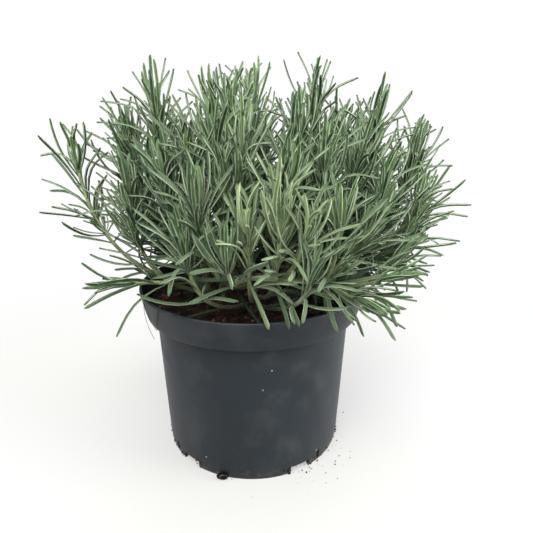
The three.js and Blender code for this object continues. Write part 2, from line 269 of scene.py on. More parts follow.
# Each shoot: name, its tip's x and y, its rise above the soil, and its sweep.
shoots = [
    ("front_centre", -2, -66, 54, 1.0),
    ("front_fork", 24, -70, 51, 0.6),
    ("front_low_left", -12, -74, 41, 0.9),
    ("front_low_right", 27, -74, 32, 0.7),
    ("near_right_tall", 43, -58, 54, 0.9),
    ("near_right_upper", 72, -24, 68, 0.8),
    ("near_left_tall", -63, -38, 63, 1.0),
    ("near_mid_tall", 23, -36, 93, 0.5),
    ("near_mid_upper", 16, -58, 76, 0.8),
    ("near_mid_lower", 13, -70, 64, 0.9),
    ("twig_left", -25, -66, 64, 0.9),
    ("low_left", -31, -70, 46, 0.9),
    ("rim_left", -63, -46, 24, 0.1),
    ("rim_right", 51, -62, 20, -0.3),
    ("front_right_low", 38, -68, 33, 0.2),
    ("left_brush", -52, -8, 107, 0.6),
    ("left_lean", -68, -6, 90, 0.7),
    ("left_far", -97, -12, 80, 0.9),
    ("left_back", -74, 14, 82, 0.8),
    ("top_back_left", -24, 30, 110, 0.3),
    ("top_middle", -1, 22, 114, 0.2),
    ("top_middle_left", -10, -8, 106, 0.3),
    ("top_tall", 38, 12, 116, 0.4),
    ("right_top", 72, 2, 100, 0.7),
    ("right_shoulder", 95, -2, 82, 0.8),
    ("right_middle", 97, -12, 58, 0.9),
    ("right_low", 90, -18, 40, 0.8),
    ("right_rim", 76, -34, 28, 0.5),
    ("right_rim_low", 66, -48, 24, 0.3),
    ("right_back", 58, 24, 96, 0.5),
    ("inner_left", -42, -46, 74, 0.8),
    ("inner_left_upper", -31, -42, 85, 0.7),
    ("inner_middle_left", -18, -44, 91, 0.6),
    ("inner_middle", -5, -50, 88, 0.6),
    ("inner_middle_low", -13, -57, 72, 0.8),
    ("inner_right", 37, -40, 84, 0.6),
    ("inner_right_upper", 57, -24, 84, 0.7),
    ("inner_right_low", 57, -47, 46, 0.7),
    ("back_left_low", -70, 46, 40, 0.7),
    ("back_left_upper", -48, 46, 84, 0.6),
    ("back_middle_left", -22, 66, 66, 0.7),
    ("back_middle_low", -6, 71, 38, 0.6),
    ("back_middle_upper", 8, 52, 94, 0.5),
    ("back_right_low", 42, 66, 40, 0.7),
    ("back_right_upper", 42, 50, 84, 0.6),
    ("back_far_left", -50, 64, 34, 0.5),
    ("back_far_right", 78, 36, 44, 0.8),
    ("back_right_side", 74, 26, 74, 0.8),
    ("back_rim", 14, 73, 24, 0.3),
]

stubs = []
for i in range(stub["count"]):
    turn = (stub["firstTurn"] + (i - 1) * 360 / (stub["count"] - 1)) * degree
    out = 0 if i == 0 else stub["ringRadius"]
    height = soilHeight(max(0, out - stub["footRadius"])) + clearance
    foot = polar(out, turn, height)
    stubs.append({"name": f"woody_stub_{i + 1}", "foot": foot, "top": foot + zAxis * stub["height"]})
    take([foot, stubs[-1]["top"]], stub["footRadius"], stubs[-1]["name"])


def curvePoint(curve, t):
    a, b, c = curve
    t = np.asarray(t, float)[..., None]
    return (1 - t) ** 2 * a + 2 * t * (1 - t) * b + t ** 2 * c


def curveLengths(curve):
    points = curvePoint(curve, np.linspace(0, 1, 201))
    return np.concatenate([[0], np.cumsum(np.linalg.norm(np.diff(points, axis=0), axis=1))])


def curveShare(curve, share):
    lengths = curveLengths(curve)
    return float(np.interp(share * lengths[-1], lengths, np.linspace(0, 1, 201)))


def curveDirection(curve, t):
    return unit(curvePoint(curve, min(t + 1e-4, 1)) - curvePoint(curve, max(t - 1e-4, 0)))


# The ways a stem may take, tried in this order until one is free: how high and at what turn it leaves its stub,
# how far it sweeps, which of the nearest stubs it takes, and how far its tip swings aside and lifts.
ways = [
    (height, turn, sweep, near, swing, lift)
    for lift in (0, 6, 14, 24)
    for swing in (0, 4, -4, 8, -8, 14, -14)
    for near in (0, 1, 2)
    for sweep in (0, -0.25, 0.25, -0.5)
    for turn in (0, 25, -25, 50, -50, 75, -75)
    for height in (0.35, 0.65, 0.9, 0.15)
]


def stemCurve(origin, planned, sweep, height, turn, extra, swing, lift):
    c, s = math.cos(swing * degree), math.sin(swing * degree)
    x, y, z = planned
    tip = np.array([c * x - s * y, s * x + c * y, z + lift])
    heading = math.atan2(tip[1] - origin["foot"][1], tip[0] - origin["foot"][0]) + turn * degree
    outward = polar(1, heading, 0)
    middle = blend(origin["foot"], origin["top"], height)
    bow = sweep + extra
    elbow = blend(middle + outward * stub["footRadius"], tip, 0.5 + 0.45 * max(bow, -0.2))
    elbow[2] = middle[2] + (tip[2] - middle[2]) * (0.5 - 0.4 * bow)
    halfWidth = stem["footRadius"] * math.sqrt(2)
    besideStub = blend(stub["footRadius"], stub["topRadius"], height) + clearance
    farStart = middle + outward * (besideStub + halfWidth)
    straightOut = unit(elbow - farStart) @ outward
    back = halfWidth * math.sqrt(1 - max(straightOut, 0) ** 2)
    return middle, (middle + outward * (besideStub + back), elbow, tip)


# The stem runs from the nearest stub with room to the shoot's planned tip.
def growStem(name, x, y, rise, sweep):
    planned = np.array([x, y, soilTop + rise], float)
    origins = sorted(stubs, key=lambda s: math.hypot(s["top"][0] - 0.4 * x, s["top"][1] - 0.4 * y))
    halfWidth = stem["footRadius"] * math.sqrt(2)
    for height, turn, extra, near, swing, lift in ways:
        origin = origins[near]
        joint, curve = stemCurve(origin, planned, sweep, height, turn, extra, swing, lift)
        points = list(curvePoint(curve, np.linspace(0, 1, stem["steps"] + 1)))
        if isFree(points, halfWidth, [name, origin["name"]]):
            take(points, halfWidth, name)
            return joint, curve
    raise ValueError("no free way for the stem of " + name)


stems = {shoot[0]: growStem(*shoot) for shoot in shoots}
print("stems grown", len(stems))

# The large leaves, which the solid part has too.
leaf = {
    "length": 37,
    "width": 2.6,
    "pairs": 5,
    "topPair": 1,
    "crowding": 2.6,
    "stretch": 1.3,
    "youngShare": 0.65,
    "firstAngle": 8,
    "angleStep": 11.5,
    "inset": 0.5,
    "bareFoot": 9,
    "angleVaries": 10,
    "shortest": 0.88,
    "lengthVaries": 0.24,
    "curl": 1.3,
}
# Where a leaf may move to until it is free: its turn and tilt in degrees, and how far it is cut short.
shifts = [
    (0, 0, 1), (14, 0, 1), (-14, 0, 1), (0, -9, 1), (0, 10, 1), (28, 0, 1), (-28, 0, 1),
    (14, 12, 0.9), (-14, 12, 0.9), (0, 20, 0.85), (20, -6, 0.75), (-20, -6, 0.75), (0, -6, 0.6), (0, 8, 0.5),
]


# A leaf's line: three points of a curve that leaves the stem at the angle and then bends by the curl.
def leafCurve(root, along, side, length, angle, curl):
    first = swung(along, side, angle)
    second = unit(first + along * curl - zAxis * 0.1)
    elbow = root + first * (length / 2)
    return root, elbow, elbow + second * (length / 2)


def stemFrame(curve, share):
    t = curveShare(curve, share)
    along = curveDirection(curve, t)
    across = np.cross(along, zAxis)
    across = np.array([1.0, 0, 0]) if np.linalg.norm(across) < 0.05 else unit(across)
    return curvePoint(curve, t), along, across, np.cross(across, along)


# Crossed pairs of leaves from the tip down; a leaf without a free place is left out.
def growLargeLeaves(name, index):
    curve = stems[name][1]
    draw = seeded(index)
    stemLength = curveLengths(curve)[-1]
    roll = draw() * math.pi
    leaves = []
    for pair in range(leaf["pairs"]):
        below = leaf["topPair"] + leaf["crowding"] * pair + leaf["stretch"] * pair * pair
        if below > stemLength - leaf["bareFoot"]:
            break
        root, along, across, upright = stemFrame(curve, 1 - below / stemLength)
        grown = leaf["youngShare"] + (1 - leaf["youngShare"]) * math.sin(math.pi * pair / leaf["pairs"])
        for face in (0, math.pi):
            drawn = [draw(), draw(), draw()]
            for turn, tilt, cut in shifts:
                side = swung(across, upright, roll + pair * math.pi / 2 + face + turn * degree)
                varied = leaf["angleVaries"] * (drawn[0] - 0.5)
                angle = (leaf["firstAngle"] + leaf["angleStep"] * pair + tilt + varied) * degree
                length = leaf["length"] * grown * cut * (leaf["shortest"] + leaf["lengthVaries"] * drawn[1])
                curl = leaf["curl"] * (drawn[2] - 0.25)
                line = leafCurve(root + side * leaf["inset"], along, side, length, angle, curl)
                rods = [line[0], curvePoint(line, 0.5), line[2]]
                if not isFree(rods, leaf["width"] / 2, [name]):
                    continue
                take(rods, leaf["width"] / 2, name)
                leaves.append({"line": line, "along": along, "size": 1.0, "age": 0.25 + 0.15 * pair})
                break
    return leaves


foliage = {shoot[0]: growLargeLeaves(shoot[0], i + 1) for i, shoot in enumerate(shoots)}
print("large leaves", sum(len(leaves) for leaves in foliage.values()))

# The finer leaves: a bud of small ones at the tip, more pairs down the stem, and tufts in the axils.
fine = {
    "budLeaves": 8,
    "budLength": (10, 27),
    "budTurn": 2.4,
    "budAngle": 3,
    "budAngleVaries": 12,
    "pairsBelow": (0.5, 2.5, 4.4, 6.6, 9, 11.6, 14.6, 18, 21.8, 26, 30.4, 35, 40, 46, 52, 58, 65, 72, 80),
    "length": (25, 39),
    "turnVaries": 0.5,
    "angleVaries": 24,
    "smallest": 0.8,
    "sizeVaries": 0.3,
    "curl": 1.9,
    "tuftLeaves": 4,
    "tuftLength": (9, 25),
    "tuftFrom": 5,
    "tuftSmallest": 0.65,
    "tuftSizeVaries": 0.25,
    "bareFoot": 4,
    "gap": 0.02,
    "halfWidth": 0.72,
    "openFront": 34,
    "frontSkip": 0.8,
    "overRim": 4,
    "rimShare": 0.86,
}
# How fresh and how open a shoot is, for the few that differ from the rest.
fresh = {
    "front_centre": (0.95, 0.55), "front_fork": (0.75, 0.4), "near_mid_lower": (0.6, 0.2),
    "top_back_left": (0.45, 0.1), "top_middle": (0.35, 0.0), "near_right_tall": (0.3, 0.3),
    "inner_middle": (0.4, 0.1), "right_middle": (0.3, 0.0), "left_brush": (0.25, 0.0),
    "left_far": (0.1, 0.5), "rim_left": (0.1, 0.5),
}
# As shifts, for the fine leaves, with the turn in radians.
fineShifts = [(0, 0, 1), (0.3, 6, 1), (-0.3, -6, 1), (0.55, 10, 0.85), (-0.55, -9, 0.85), (0, 16, 0.65)]


# The angle between leaf and stem in degrees, which opens with the distance below the tip.
def spreadAt(below):
    return float(np.interp(below, (0, 3, 6, 11, 21, 34, 60), (13, 23, 31, 39, 48, 56, 68)))


def inBox(point, spare=2.0):
    low = np.array(cadLow) / mm + spare
    high = np.array(cadHigh) / mm - spare
    return bool((point > low).all() and (point < high).all())


# A small leaf may not hang over the rim, which would hide the pot's edge.
def hangsOver(point):
    outside = math.hypot(point[0], point[1]) > fine["rimShare"] * pot["rimRadius"]
    return outside and point[2] < pot["height"] + fine["overRim"]


# Adds a fine leaf where it is free, if there is such a place.
def tryLeaf(name, leaves, root, along, side, length, angle, curl, size, age):
    for turn, tilt, cut in fineShifts:
        turned = unit(swung(side, np.cross(along, side), turn))
        line = leafCurve(root + turned * 0.4, along, turned, length * cut, (angle + tilt) * degree, curl)
        rods = [curvePoint(line, 0.15), curvePoint(line, 0.55), line[2]]
        halfWidth = fine["halfWidth"] * size
        if inBox(line[2]) and not hangsOver(line[2]) and isFree(rods, halfWidth, [name], fine["gap"]):
            take(rods, halfWidth, name)
            leaves.append({"line": line, "along": along, "size": size, "age": age})
            return


def growFineLeaves(name, index):
    curve = stems[name][1]
    draw = seeded(1000 + index)
    stemLength = curveLengths(curve)[-1]
    roll = draw() * math.pi
    leaves = foliage[name]
    freshness, openness = fresh.get(name, (0.0, 0.0))
    root, along, across, upright = stemFrame(curve, 1 - 0.3 / stemLength)
    for i in range(fine["budLeaves"]):
        side = swung(across, upright, roll + i * fine["budTurn"])
        length = blend(*fine["budLength"], draw())
        angle = fine["budAngle"] + fine["budAngleVaries"] * draw()
        tryLeaf(name, leaves, root, along, side, length, angle, 0.3 * (draw() - 0.6), 1.0, 0.0)
    for pair, below in enumerate(fine["pairsBelow"]):
        below = below + 0.12 * (1 + below / 12) * (draw() - 0.5)
        if below > stemLength - fine["bareFoot"] or below < 0 or draw() < openness:
            continue
        root, along, across, upright = stemFrame(curve, 1 - below / stemLength)
        lowFront = root[2] < soilTop + fine["openFront"] and root[1] < -0.3 * pot["rimRadius"]
        for face in (0, math.pi):
            varied = fine["turnVaries"] * (draw() - 0.5)
            side = swung(across, upright, roll + pair * math.pi / 2 + face + varied)
            length = blend(*fine["length"], draw()) * float(np.interp(below, (0, 10, 45, 80), (0.85, 1, 0.95, 0.7)))
            angle = spreadAt(below) + fine["angleVaries"] * (draw() - 0.5)
            size = fine["smallest"] + fine["sizeVaries"] * draw()
            age = clamp(below / 45 + 0.3 * draw())
            curl = fine["curl"] * (draw() - 0.45)
            if lowFront and draw() < fine["frontSkip"]:
                continue
            tryLeaf(name, leaves, root, along, side, length, angle, curl, size, age)
            if below < fine["tuftFrom"] or lowFront or draw() < 1.5 * openness:
                continue
            axil = root + along * 0.9
            for i in range(fine["tuftLeaves"]):
                lean = unit(side + np.cross(along, side) * (1.4 * (draw() - 0.5)))
                length = blend(*fine["tuftLength"], draw())
                tuftAngle = angle * (0.35 + 0.5 * draw())
                size = fine["tuftSmallest"] + fine["tuftSizeVaries"] * draw()
                tryLeaf(name, leaves, axil, along, lean, length, tuftAngle, 0.2, size, 0.15)
    for entry in leaves:
        entry["age"] *= 1 - freshness
        entry.setdefault("fresh", freshness)


# Single leaves that stand out: the shoot, how far up its stem, the heading and the rise in degrees,
# the length, how much the tip bends up, and whether it is broad, pale, plain or deep green.
standouts = [
    ("front_centre", 0.62, -50, 8, 21, 0.2, "broad"),
    ("front_centre", 0.62, 225, 4, 9, 0.0, "broad"),
    ("front_centre", 0.58, -62, -50, 26, 0.3, "pale"),
    ("front_centre", 0.66, 176, -8, 27, 0.1, "plain"),
    ("front_centre", 0.84, 172, 76, 18, -0.5, "broad"),
    ("front_centre", 0.84, 14, 70, 24, -0.1, "broad"),
    ("front_centre", 0.86, 60, 84, 21, 0.0, "broad"),
    ("near_mid_lower", 0.5, -48, -46, 26, -0.1, "plain"),
    ("near_mid_lower", 0.46, -62, -52, 24, 0.1, "plain"),
    ("front_fork", 0.84, 6, 50, 20, 0.5, "broad"),
    ("front_fork", 0.86, 20, 66, 23, -0.2, "broad"),
    ("front_fork", 0.88, 100, 76, 20, 0.0, "pale"),
    ("near_right_tall", 0.86, 172, 80, 30, -0.3, "pale"),
    ("front_right_low", 0.9, -70, -58, 25, -0.3, "deep"),
    ("front_right_low", 0.8, -40, -66, 22, -0.1, "deep"),
    ("right_rim_low", 0.92, -42, -44, 27, -0.4, "deep"),
    ("right_rim_low", 0.8, -15, -30, 28, 0.2, "deep"),
    ("rim_left", 0.85, -165, -22, 34, 0.1, "plain"),
]
kinds = {
    "broad": {"fresh": 1.0, "size": 1.5}, "pale": {"fresh": 0.85, "size": 1.2},
    "plain": {"fresh": 0.15, "size": 1.05}, "deep": {"deep": 1.0, "size": 1.1},
}


def growStandouts():
    for name, share, heading, rise, length, bend, kind in standouts:
        root = stemFrame(stems[name][1], share)[0]
        first = polar(math.cos(rise * degree), heading * degree, math.sin(rise * degree))
        elbow = root + first * (length / 2)
        line = (root, elbow, elbow + unit(first + zAxis * bend) * (length / 2))
        take([curvePoint(line, 0.1), curvePoint(line, 0.5), line[2]], fine["halfWidth"], name)
        foliage[name].append({"line": line, "along": np.array([0, -1, 0.25]), "age": 0.2, **kinds[kind]})


growStandouts()
for i, shoot in enumerate(shoots):
    growFineLeaves(shoot[0], i + 1)
print("all leaves", sum(len(leaves) for leaves in foliage.values()))


# Materials: small helpers first, then one look and one function for each. A look's grain is its close scale,
# its broad scale and its detail, its shares say how strongly a layer covers, and its bump is in metres.
def addNode(tree, kind, place, inputs=None, **settings):
    node = tree.nodes.new(kind)
    node.location = (place[0] * 220, place[1] * -200)
    for key, value in settings.items():
        setattr(node, key, value)
    for key, value in (inputs or {}).items():
        if isinstance(value, bpy.types.NodeSocket):
            tree.links.new(value, node.inputs[key])
        else:
            node.inputs[key].default_value = value
    return node


def startMaterial(name):
    material = bpy.data.materials.new(name)
    material.use_nodes = True
    tree = material.node_tree
    shader = tree.nodes["Principled BSDF"]
    shader.location = (2200, 0)
    tree.nodes["Material Output"].location = (2500, 0)
    return material, tree, shader


def mixColours(tree, place, factor, first, second, mode="MIX"):
    node = addNode(tree, "ShaderNodeMix", place, data_type="RGBA", blend_type=mode)
    for label, value in (("Factor", factor), ("A", first), ("B", second)):
        socket = next(s for s in node.inputs if s.name == label and s.enabled)
        if isinstance(value, bpy.types.NodeSocket):
            tree.links.new(value, socket)
        else:
            socket.default_value = (*value, 1)
    return next(s for s in node.outputs if s.enabled)


# Lays each colour over the ones before it; a layer is a factor, a colour and, if it isn't a plain mix, its mode.
def layered(tree, base, layers):
    for i, (factor, colour, *mode) in enumerate(layers):
        base = mixColours(tree, (i - 1, 1), factor, base, colour, *mode)
    return base


def mapRange(tree, place, value, fromLow, fromHigh, toLow=0.0, toHigh=1.0):
    numbers = {"From Min": fromLow, "From Max": fromHigh, "To Min": toLow, "To Max": toHigh}
    node = addNode(tree, "ShaderNodeMapRange", place, {"Value": value, **numbers}, interpolation_type="SMOOTHSTEP")
    return node.outputs["Result"]


def calculate(tree, place, operation, *values):
    return addNode(tree, "ShaderNodeMath", place, dict(enumerate(values)), operation=operation).outputs[0]


def scaled(tree, place, value, by):
    return calculate(tree, place, "MULTIPLY", value, by)


def objectPlace(tree, place):
    return addNode(tree, "ShaderNodeTexCoord", place).outputs["Object"]


def addNoise(tree, place, vector, scale, detail, roughness=0.5):
    inputs = {"Vector": vector, "Scale": scale, "Detail": detail, "Roughness": roughness}
    return addNode(tree, "ShaderNodeTexNoise", place, inputs).outputs["Fac"]


def colourLayer(tree, place, name):
    layer = addNode(tree, "ShaderNodeVertexColor", place, layer_name=name)
    parts = addNode(tree, "ShaderNodeSeparateColor", (place[0] + 1, place[1]), {"Color": layer.outputs["Color"]})
    return (*(parts.outputs[label] for label in ("Red", "Green", "Blue")), layer.outputs["Alpha"])


# Joins the colour, the roughness that follows the wear, and the relief to the shader.
def finishMaterial(tree, shader, look, base, wear, relief):
    wearLow, wearHigh = look.get("wear", (0.3, 0.7))
    rough = mapRange(tree, (6, 3), wear, wearLow, wearHigh, *look["rough"])
    bump = addNode(tree, "ShaderNodeBump", (6, 4), {
        "Height": relief, "Distance": look["bump"], "Strength": look.get("bumpStrength", 1.0)})
    for label, value in (("Base Color", base), ("Roughness", rough), ("Normal", bump.outputs["Normal"])):
        tree.links.new(value, shader.inputs[label])
    for label, value in look["shader"].items():
        shader.inputs[label].default_value = value


def makeGroup(name, inputs, outputs):
    group = bpy.data.node_groups.new(name, "ShaderNodeTree")
    for label, value in inputs.items():
        socket = group.interface.new_socket(name=label, in_out="INPUT", socket_type="NodeSocketFloat")
        socket.default_value = value
    for label in outputs:
        group.interface.new_socket(name=label, in_out="OUTPUT", socket_type="NodeSocketFloat")
    return group, addNode(group, "NodeGroupInput", (-4, 0)), addNode(group, "NodeGroupOutput", (5, 0))


# Fine grain: a close noise for the height and a broad one for the patches.
def makeGrainGroup():
    group, start, end = makeGroup(
        "fineGrain", {"Scale": 1000.0, "Broad Scale": 120.0, "Detail": 3.0}, ("Height", "Patches"))
    vector = objectPlace(group, (-4, 2))
    close = addNoise(group, (-2, 0), vector, start.outputs["Scale"], start.outputs["Detail"])
    broad = addNoise(group, (-2, 2), vector, start.outputs["Broad Scale"], 2.0)
    group.links.new(close, end.inputs["Height"])
    group.links.new(mapRange(group, (1, 2), broad, 0.35, 0.65), end.inputs["Patches"])
    return group


# Dust: scattered specks and broad smudges.
def makeDustGroup():
    group, start, end = makeGroup("dustSpecks", {"Speck Scale": 300.0, "Speck Amount": 0.1}, ("Specks", "Smudges"))
    vector = objectPlace(group, (-4, 2))
    cells = addNode(group, "ShaderNodeTexVoronoi", (-3, 0), {
        "Vector": vector, "Scale": start.outputs["Speck Scale"]})
    dots = mapRange(group, (-1, 0), cells.outputs["Distance"], 0.16, 0.08)
    chance = addNode(group, "ShaderNodeSeparateColor", (-2, 1), {"Color": cells.outputs["Color"]})
    picked = calculate(group, (0, 1), "LESS_THAN", chance.outputs["Red"], start.outputs["Speck Amount"])
    cloud = addNoise(group, (-2, 3), vector, 38.0, 5.0, 0.62)
    group.links.new(scaled(group, (2, 0), dots, picked), end.inputs["Specks"])
    group.links.new(mapRange(group, (1, 3), cloud, 0.48, 0.72), end.inputs["Smudges"])
    return group


grainGroup = makeGrainGroup()
dustGroup = makeDustGroup()


def useGrain(tree, place, scale, broadScale, detail=3.0):
    inputs = {"Scale": scale, "Broad Scale": broadScale, "Detail": detail}
    node = addNode(tree, "ShaderNodeGroup", place, inputs, node_tree=grainGroup)
    return node.outputs["Height"], node.outputs["Patches"]


def useDust(tree, place, scale, amount):
    node = addNode(tree, "ShaderNodeGroup", place, {"Speck Scale": scale, "Speck Amount": amount}, node_tree=dustGroup)
    return node.outputs["Specks"], node.outputs["Smudges"]


leafLook = {
    "greyGreen": (0.024, 0.052, 0.018),
    "blueGreen": (0.036, 0.067, 0.033),
    "freshGreen": (0.085, 0.150, 0.044),
    "paleGreen": (0.300, 0.390, 0.180),
    "deepGreen": (0.013, 0.042, 0.007),
    # Near black for the leaves deep in the bush: painted shade, partly also the colour of older leaves.
    "insideShadeGreen": (0.006, 0.016, 0.004),
    # Pale felt, made bright enough to paint a highlight along the rolled margins too.
    "margin": (0.38, 0.45, 0.32),
    "underside": (0.062, 0.096, 0.048),
    "shares": {"young": 0.75, "pale": 0.9, "deep": 0.85, "patches": 0.12, "furrow": 0.5, "under": 0.75,
               "margin": 0.75, "foot": 0.55, "inside": 0.97},
    "grain": (2600.0, 260.0, 4.0),
    "rough": (0.52, 0.8),
    "bump": 0.00007,
    "bumpStrength": 0.7,
    "shader": {"Sheen Weight": 0.06, "Sheen Roughness": 0.45, "Specular IOR Level": 0.16},
}


def makeLeafMaterial(look):
    material, tree, shader = startMaterial("lavenderLeaf")
    fromRib, fromFoot, under, depth = colourLayer(tree, (-4, 0), "leafPlace")
    grey, age, chance, freshness = colourLayer(tree, (-4, 2), "leafTone")
    height, patches = useGrain(tree, (-3, 4), *look["grain"])
    share = look["shares"]
    # The midrib is a dark furrow above. The rolled margins are pale, partly with felt and partly with a painted
    # highlight along the edges.
    base = layered(tree, look["greyGreen"], [
        (grey, look["blueGreen"]),
        (mapRange(tree, (-2, 3), age, 0.55, 0.0, 0.0, share["young"]), look["freshGreen"]),
        (mapRange(tree, (-1, 2), freshness, 0.1, 0.9, 0.0, share["pale"]), look["paleGreen"]),
        (mapRange(tree, (-1, 3), chance, 0.80, 1.0, 0.0, share["deep"]), look["deepGreen"]),
        (scaled(tree, (0, 4), patches, share["patches"]), look["margin"]),
        (mapRange(tree, (1, 3), fromRib, 0.34, 0.0, 0.0, share["furrow"]), look["deepGreen"]),
        (scaled(tree, (2, 4), under, share["under"]), look["underside"]),
        # Pale rolled margins: the felt's own colour and a painted highlight along the edges.
        (mapRange(tree, (2, 3), fromRib, 0.66, 1.0, 0.0, share["margin"]), look["margin"]),
        (mapRange(tree, (4, 3), fromFoot, 0.16, 0.0, 0.0, share["foot"]), look["freshGreen"]),
        # Deep in the bush the colour darkens: painted shade, partly also older leaves; fresh leaves keep less of it.
        (mapRange(tree, (5, 2), depth, 0.0, 1.0, 0.0, share["inside"]), look["insideShadeGreen"]),
    ])
    finishMaterial(tree, shader, look, base, height, height)
    return material


stemLook = {
    "old": (0.040, 0.032, 0.016),
    "green": (0.13, 0.175, 0.07),
    "pale": (0.27, 0.33, 0.16),
    "shaded": (0.012, 0.014, 0.007),
    "shares": {"corner": 0.6, "patches": 0.3},
    "grain": (2200.0, 180.0, 4.0),
    "rough": (0.5, 0.8),
    "bump": 0.00008,
    "bumpStrength": 0.7,
    "shader": {"Sheen Weight": 0.05, "Specular IOR Level": 0.2},
}


def makeStemMaterial(look):
    material, tree, shader = startMaterial("lavenderStem")
    upStem, corner, shade, _ = colourLayer(tree, (-4, 0), "stemPlace")
    height, patches = useGrain(tree, (-3, 2), *look["grain"])
    base = layered(tree, look["old"], [
        (mapRange(tree, (-2, 0), upStem, 0.25, 0.75), look["green"]),
        (scaled(tree, (-1, 2), corner, look["shares"]["corner"]), look["pale"]),
        (scaled(tree, (0, 2), patches, look["shares"]["patches"]), look["old"]),
        (shade, look["shaded"]),
    ])
    finishMaterial(tree, shader, look, base, height, height)
    return material


barkLook = {
    "dark": (0.05, 0.035, 0.022),
    "light": (0.21, 0.165, 0.11),
    "fissures": (900, 900, 130),
    "grain": (1500.0, 150.0),
    "rough": (0.75, 0.95),
    "bump": 0.0004,
    "shader": {"Specular IOR Level": 0.15},
}


def makeBarkMaterial(look):
    material, tree, shader = startMaterial("woodyBark")
    stretch = addNode(tree, "ShaderNodeMapping", (-3, 0), {
        "Vector": objectPlace(tree, (-4, 0)), "Scale": look["fissures"]})
    strips = mapRange(tree, (-1, 0), addNoise(tree, (-2, 0), stretch.outputs["Vector"], 1.0, 6.0, 0.65), 0.38, 0.62)
    height, patches = useGrain(tree, (-2, 2), *look["grain"])
    base = layered(tree, look["dark"], [(strips, look["light"]), (patches, look["dark"], "MULTIPLY")])
    finishMaterial(tree, shader, look, base, height, strips)
    return material


potLook = {
    "plastic": (0.0092, 0.0128, 0.0164),
    "worn": (0.0108, 0.0148, 0.0190),
    "dust": (0.30, 0.29, 0.27),
    "soilDust": (0.05, 0.035, 0.022),
    "grimeTop": 0.011,
    "shares": {"smudges": 0.05, "specks": 0.55, "rings": 0.35},
    "grain": (3200.0, 26.0, 2.0),
    "specks": (210.0, 0.035),
    "wear": (0.0, 1.0),
    "rough": (0.4, 0.54),
    "bump": 0.00003,
    "bumpStrength": 0.6,
    "shader": {"IOR": 1.49, "Specular IOR Level": 0.26},
}


def makePotMaterial(look):
    material, tree, shader = startMaterial("mouldedPlastic")
    vector = objectPlace(tree, (-5, 0))
    up = addNode(tree, "ShaderNodeSeparateXYZ", (-4, 0), {"Vector": vector}).outputs["Z"]
    height, patches = useGrain(tree, (-4, 2), *look["grain"])
    specks, smudges = useDust(tree, (-4, 4), *look["specks"])
    # Dark soil dust clings to the foot.
    low = mapRange(tree, (-2, 2), up, look["grimeTop"], 0.0)
    clinging = mapRange(tree, (-1, 5), addNoise(tree, (-3, 5), vector, 330.0, 6.0, 0.7), 0.5, 0.62)
    base = layered(tree, look["plastic"], [
        (patches, look["worn"]),
        (scaled(tree, (-3, 3), smudges, look["shares"]["smudges"]), look["dust"]),
        (scaled(tree, (0, 3), low, clinging), look["soilDust"]),
        (scaled(tree, (0, 4), specks, look["shares"]["specks"]), look["dust"]),
    ])
    # Faint lines round the wall from the mould, and the fine grain of the plastic.
    rings = addNode(tree, "ShaderNodeTexWave", (-2, 6), {
        "Vector": vector, "Scale": 95.0, "Distortion": 0.6, "Detail": 2.0},
        wave_type="BANDS", bands_direction="Z")
    relief = calculate(tree, (0, 6), "MULTIPLY_ADD", rings.outputs["Fac"], look["shares"]["rings"], height)
    finishMaterial(tree, shader, look, base, smudges, relief)
    return material


soilLook = {
    "dark": (0.0035, 0.0024, 0.0018),
    "brown": (0.016, 0.008, 0.0042),
    "bits": (0.16, 0.05, 0.02),
    "bitShare": 0.6,
    "grain": (700.0, 140.0, 6.0),
    "specks": (380.0, 0.22),
    "rough": (0.7, 1.0),
    "bump": 0.0009,
    "shader": {"Specular IOR Level": 0.1},
}


def makeSoilMaterial(look):
    material, tree, shader = startMaterial("moistCompost")
    height, patches = useGrain(tree, (-3, 0), *look["grain"])
    specks, _ = useDust(tree, (-3, 2), *look["specks"])
    bits = scaled(tree, (-1, 2), specks, look["bitShare"])
    base = layered(tree, look["dark"], [(patches, look["brown"]), (bits, look["bits"])])
    finishMaterial(tree, shader, look, base, height, height)
    return material


crumbLook = {
    "patchShare": 0.55,
    "grain": (2000.0, 500.0, 5.0),
    "rough": (0.65, 0.95),
    "bump": 0.0003,
    "shader": {"Specular IOR Level": 0.15},
}


def makeCrumbMaterial(look):
    material, tree, shader = startMaterial("compostCrumb")
    tone = addNode(tree, "ShaderNodeVertexColor", (-3, 0), layer_name="crumbTone")
    height, patches = useGrain(tree, (-3, 2), *look["grain"])
    shade = scaled(tree, (-2, 2), patches, look["patchShare"])
    base = layered(tree, tone.outputs["Color"], [(shade, soilLook["dark"])])
    finishMaterial(tree, shader, look, base, height, height)
    return material


wetLook = {
    "dark": (0.0015, 0.0012, 0.0010),
    "light": (0.004, 0.003, 0.002),
    "grain": (900.0, 300.0, 4.0),
    "rough": (0.08, 0.2),
    "bump": 0.0002,
    "shader": {"Specular IOR Level": 0.12},
}


def makeWetMaterial(look):
    material, tree, shader = startMaterial("wetCompost")
    height, patches = useGrain(tree, (-3, 0), *look["grain"])
    base = layered(tree, look["dark"], [(patches, look["light"])])
    finishMaterial(tree, shader, look, base, height, height)
    return material


leafMaterial = makeLeafMaterial(leafLook)
stemMaterial = makeStemMaterial(stemLook)
barkMaterial = makeBarkMaterial(barkLook)
potMaterial = makePotMaterial(potLook)
soilMaterial = makeSoilMaterial(soilLook)
crumbMaterial = makeCrumbMaterial(crumbLook)
wetMaterial = makeWetMaterial(wetLook)
print("materials made")


# The leaf blank: a grid with a furrow and rolled edges, given its thickness.
blade = {
    "width": 2.3, "across": 4, "along": 7, "thickness": 0.6, "baseShare": 0.42, "widestAt": 0.6,
    "tipFrom": 0.89, "tipLength": 0.115, "furrow": 0.15, "roll": 0.85, "twist": 1.1, "sway": 0.12, "arch": 0.3,
}


def wideningAt(v):
    return blade["baseShare"] + (1 - blade["baseShare"]) * math.sin(min(v / blade["widestAt"], 1) * math.pi / 2)


